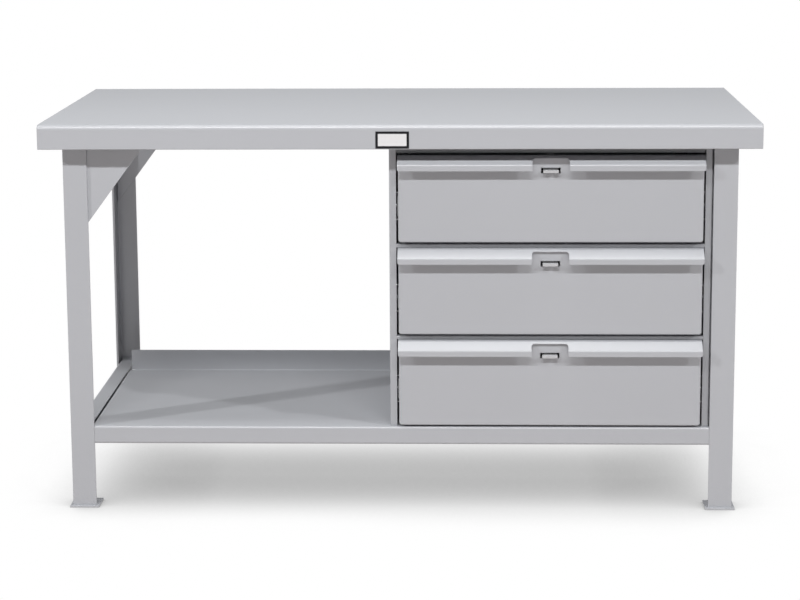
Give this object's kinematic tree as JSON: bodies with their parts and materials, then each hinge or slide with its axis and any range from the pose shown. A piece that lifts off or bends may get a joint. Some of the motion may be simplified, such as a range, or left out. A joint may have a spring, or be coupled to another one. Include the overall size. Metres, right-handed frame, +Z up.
{
  "type": "work table",
  "caption": "Steel work table with a formed lipped top, angle legs, a lower shelf, end gussets and a case of latched pull-out drawers on ball slides.",
  "frame": {"origin": "on the floor under the middle of the top", "axes": "+X to the right along the width, +Y from the front to the rear, +Z up"},
  "size_m": [1.524, 0.7626, 0.843],
  "materials": {
    "grey_paint": "light grey semi-gloss powder coat",
    "grey_paint_inside": "light grey powder coat inside the drawers",
    "zinc": "bright zinc-plated slide steel",
    "zinc_hardware": "zinc-plated latch parts and fasteners",
    "plate": "bare white plate with a black border"
  },
  "bodies": {
    "frame": {"bottom_drawer_outer_slides": "zinc", "case_back": "grey_paint", "case_left_side": "grey_paint", "case_leg_tie": "grey_paint", "case_lower_divider": "grey_paint", "case_right_side": "grey_paint", "case_top_rail": "grey_paint", "case_upper_divider": "grey_paint", "end_gussets": "grey_paint", "front_left_foot": "grey_paint", "front_left_leg": "grey_paint", "front_right_foot": "grey_paint", "front_right_leg": "grey_paint", "left_shelf_rail": "grey_paint", "left_slide_uprights": "grey_paint", "lower_shelf": "grey_paint", "middle_drawer_outer_slides": "zinc", "nameplate": "plate", "rear_left_foot": "grey_paint", "rear_left_leg": "grey_paint", "rear_right_foot": "grey_paint", "rear_right_leg": "grey_paint", "right_shelf_rail": "grey_paint", "right_slide_uprights": "grey_paint", "slide_screws": "zinc_hardware", "top_drawer_outer_slides": "zinc", "worktop": "grey_paint"},
    "bottom_drawer": {"bottom_drawer_front": "grey_paint", "bottom_drawer_handle": "grey_paint", "bottom_drawer_box": "grey_paint_inside", "bottom_drawer_inner_slides": "zinc", "bottom_drawer_slide_rivets": "zinc_hardware", "bottom_drawer_latch_bracket": "zinc_hardware", "bottom_drawer_latch_pin": "zinc_hardware"},
    "bottom_carriage": {"bottom_drawer_middle_slides": "zinc"},
    "bottom_outer_ball_cages": {"bottom_drawer_outer_cages": "zinc"},
    "bottom_inner_ball_cages": {"bottom_drawer_inner_cages": "zinc"},
    "bottom_latch": {"bottom_drawer_latch_lever": "zinc_hardware"},
    "middle_drawer": {"middle_drawer_front": "grey_paint", "middle_drawer_handle": "grey_paint", "middle_drawer_box": "grey_paint_inside", "middle_drawer_inner_slides": "zinc", "middle_drawer_slide_rivets": "zinc_hardware", "middle_drawer_latch_bracket": "zinc_hardware", "middle_drawer_latch_pin": "zinc_hardware"},
    "middle_carriage": {"middle_drawer_middle_slides": "zinc"},
    "middle_outer_ball_cages": {"middle_drawer_outer_cages": "zinc"},
    "middle_inner_ball_cages": {"middle_drawer_inner_cages": "zinc"},
    "middle_latch": {"middle_drawer_latch_lever": "zinc_hardware"},
    "top_drawer": {"top_drawer_front": "grey_paint", "top_drawer_handle": "grey_paint", "top_drawer_box": "grey_paint_inside", "top_drawer_inner_slides": "zinc", "top_drawer_slide_rivets": "zinc_hardware", "top_drawer_latch_bracket": "zinc_hardware", "top_drawer_latch_pin": "zinc_hardware"},
    "top_carriage": {"top_drawer_middle_slides": "zinc"},
    "top_outer_ball_cages": {"top_drawer_outer_cages": "zinc"},
    "top_inner_ball_cages": {"top_drawer_inner_cages": "zinc"},
    "top_latch": {"top_drawer_latch_lever": "zinc_hardware"}
  },
  "joints": [
    {"name": "bottom_drawer_slide", "type": "slide", "parent": "frame", "child": "bottom_drawer", "axis": [0, -1, 0], "range_m": [0, 0.48]},
    {"name": "bottom_carriage_slide", "type": "slide", "parent": "frame", "child": "bottom_carriage", "axis": [0, -1, 0], "range_m": [0, 0.24]},
    {"name": "bottom_outer_ball_cages_slide", "type": "slide", "parent": "frame", "child": "bottom_outer_ball_cages", "axis": [0, -1, 0], "range_m": [0, 0.12]},
    {"name": "bottom_inner_ball_cages_slide", "type": "slide", "parent": "frame", "child": "bottom_inner_ball_cages", "axis": [0, -1, 0], "range_m": [0, 0.36]},
    {"name": "bottom_latch_turn", "type": "hinge", "parent": "bottom_drawer", "child": "bottom_latch", "pos_m": [0.3211, -0.333, 0.363], "axis": [-1, 0, 0], "range_deg": [0, 12]},
    {"name": "middle_drawer_slide", "type": "slide", "parent": "frame", "child": "middle_drawer", "axis": [0, -1, 0], "range_m": [0, 0.48]},
    {"name": "middle_carriage_slide", "type": "slide", "parent": "frame", "child": "middle_carriage", "axis": [0, -1, 0], "range_m": [0, 0.24]},
    {"name": "middle_outer_ball_cages_slide", "type": "slide", "parent": "frame", "child": "middle_outer_ball_cages", "axis": [0, -1, 0], "range_m": [0, 0.12]},
    {"name": "middle_inner_ball_cages_slide", "type": "slide", "parent": "frame", "child": "middle_inner_ball_cages", "axis": [0, -1, 0], "range_m": [0, 0.36]},
    {"name": "middle_latch_turn", "type": "hinge", "parent": "middle_drawer", "child": "middle_latch", "pos_m": [0.3211, -0.333, 0.563], "axis": [-1, 0, 0], "range_deg": [0, 12]},
    {"name": "top_drawer_slide", "type": "slide", "parent": "frame", "child": "top_drawer", "axis": [0, -1, 0], "range_m": [0, 0.48]},
    {"name": "top_carriage_slide", "type": "slide", "parent": "frame", "child": "top_carriage", "axis": [0, -1, 0], "range_m": [0, 0.24]},
    {"name": "top_outer_ball_cages_slide", "type": "slide", "parent": "frame", "child": "top_outer_ball_cages", "axis": [0, -1, 0], "range_m": [0, 0.12]},
    {"name": "top_inner_ball_cages_slide", "type": "slide", "parent": "frame", "child": "top_inner_ball_cages", "axis": [0, -1, 0], "range_m": [0, 0.36]},
    {"name": "top_latch_turn", "type": "hinge", "parent": "top_drawer", "child": "top_latch", "pos_m": [0.3211, -0.333, 0.763], "axis": [-1, 0, 0], "range_deg": [0, 12]}
  ],
  "couplings": [
    {"joint": "bottom_carriage_slide", "follows": "bottom_drawer_slide", "ratio": 0.5},
    {"joint": "bottom_outer_ball_cages_slide", "follows": "bottom_drawer_slide", "ratio": 0.25},
    {"joint": "bottom_inner_ball_cages_slide", "follows": "bottom_drawer_slide", "ratio": 0.75},
    {"joint": "middle_carriage_slide", "follows": "middle_drawer_slide", "ratio": 0.5},
    {"joint": "middle_outer_ball_cages_slide", "follows": "middle_drawer_slide", "ratio": 0.25},
    {"joint": "middle_inner_ball_cages_slide", "follows": "middle_drawer_slide", "ratio": 0.75},
    {"joint": "top_carriage_slide", "follows": "top_drawer_slide", "ratio": 0.5},
    {"joint": "top_outer_ball_cages_slide", "follows": "top_drawer_slide", "ratio": 0.25},
    {"joint": "top_inner_ball_cages_slide", "follows": "top_drawer_slide", "ratio": 0.75}
  ]
}
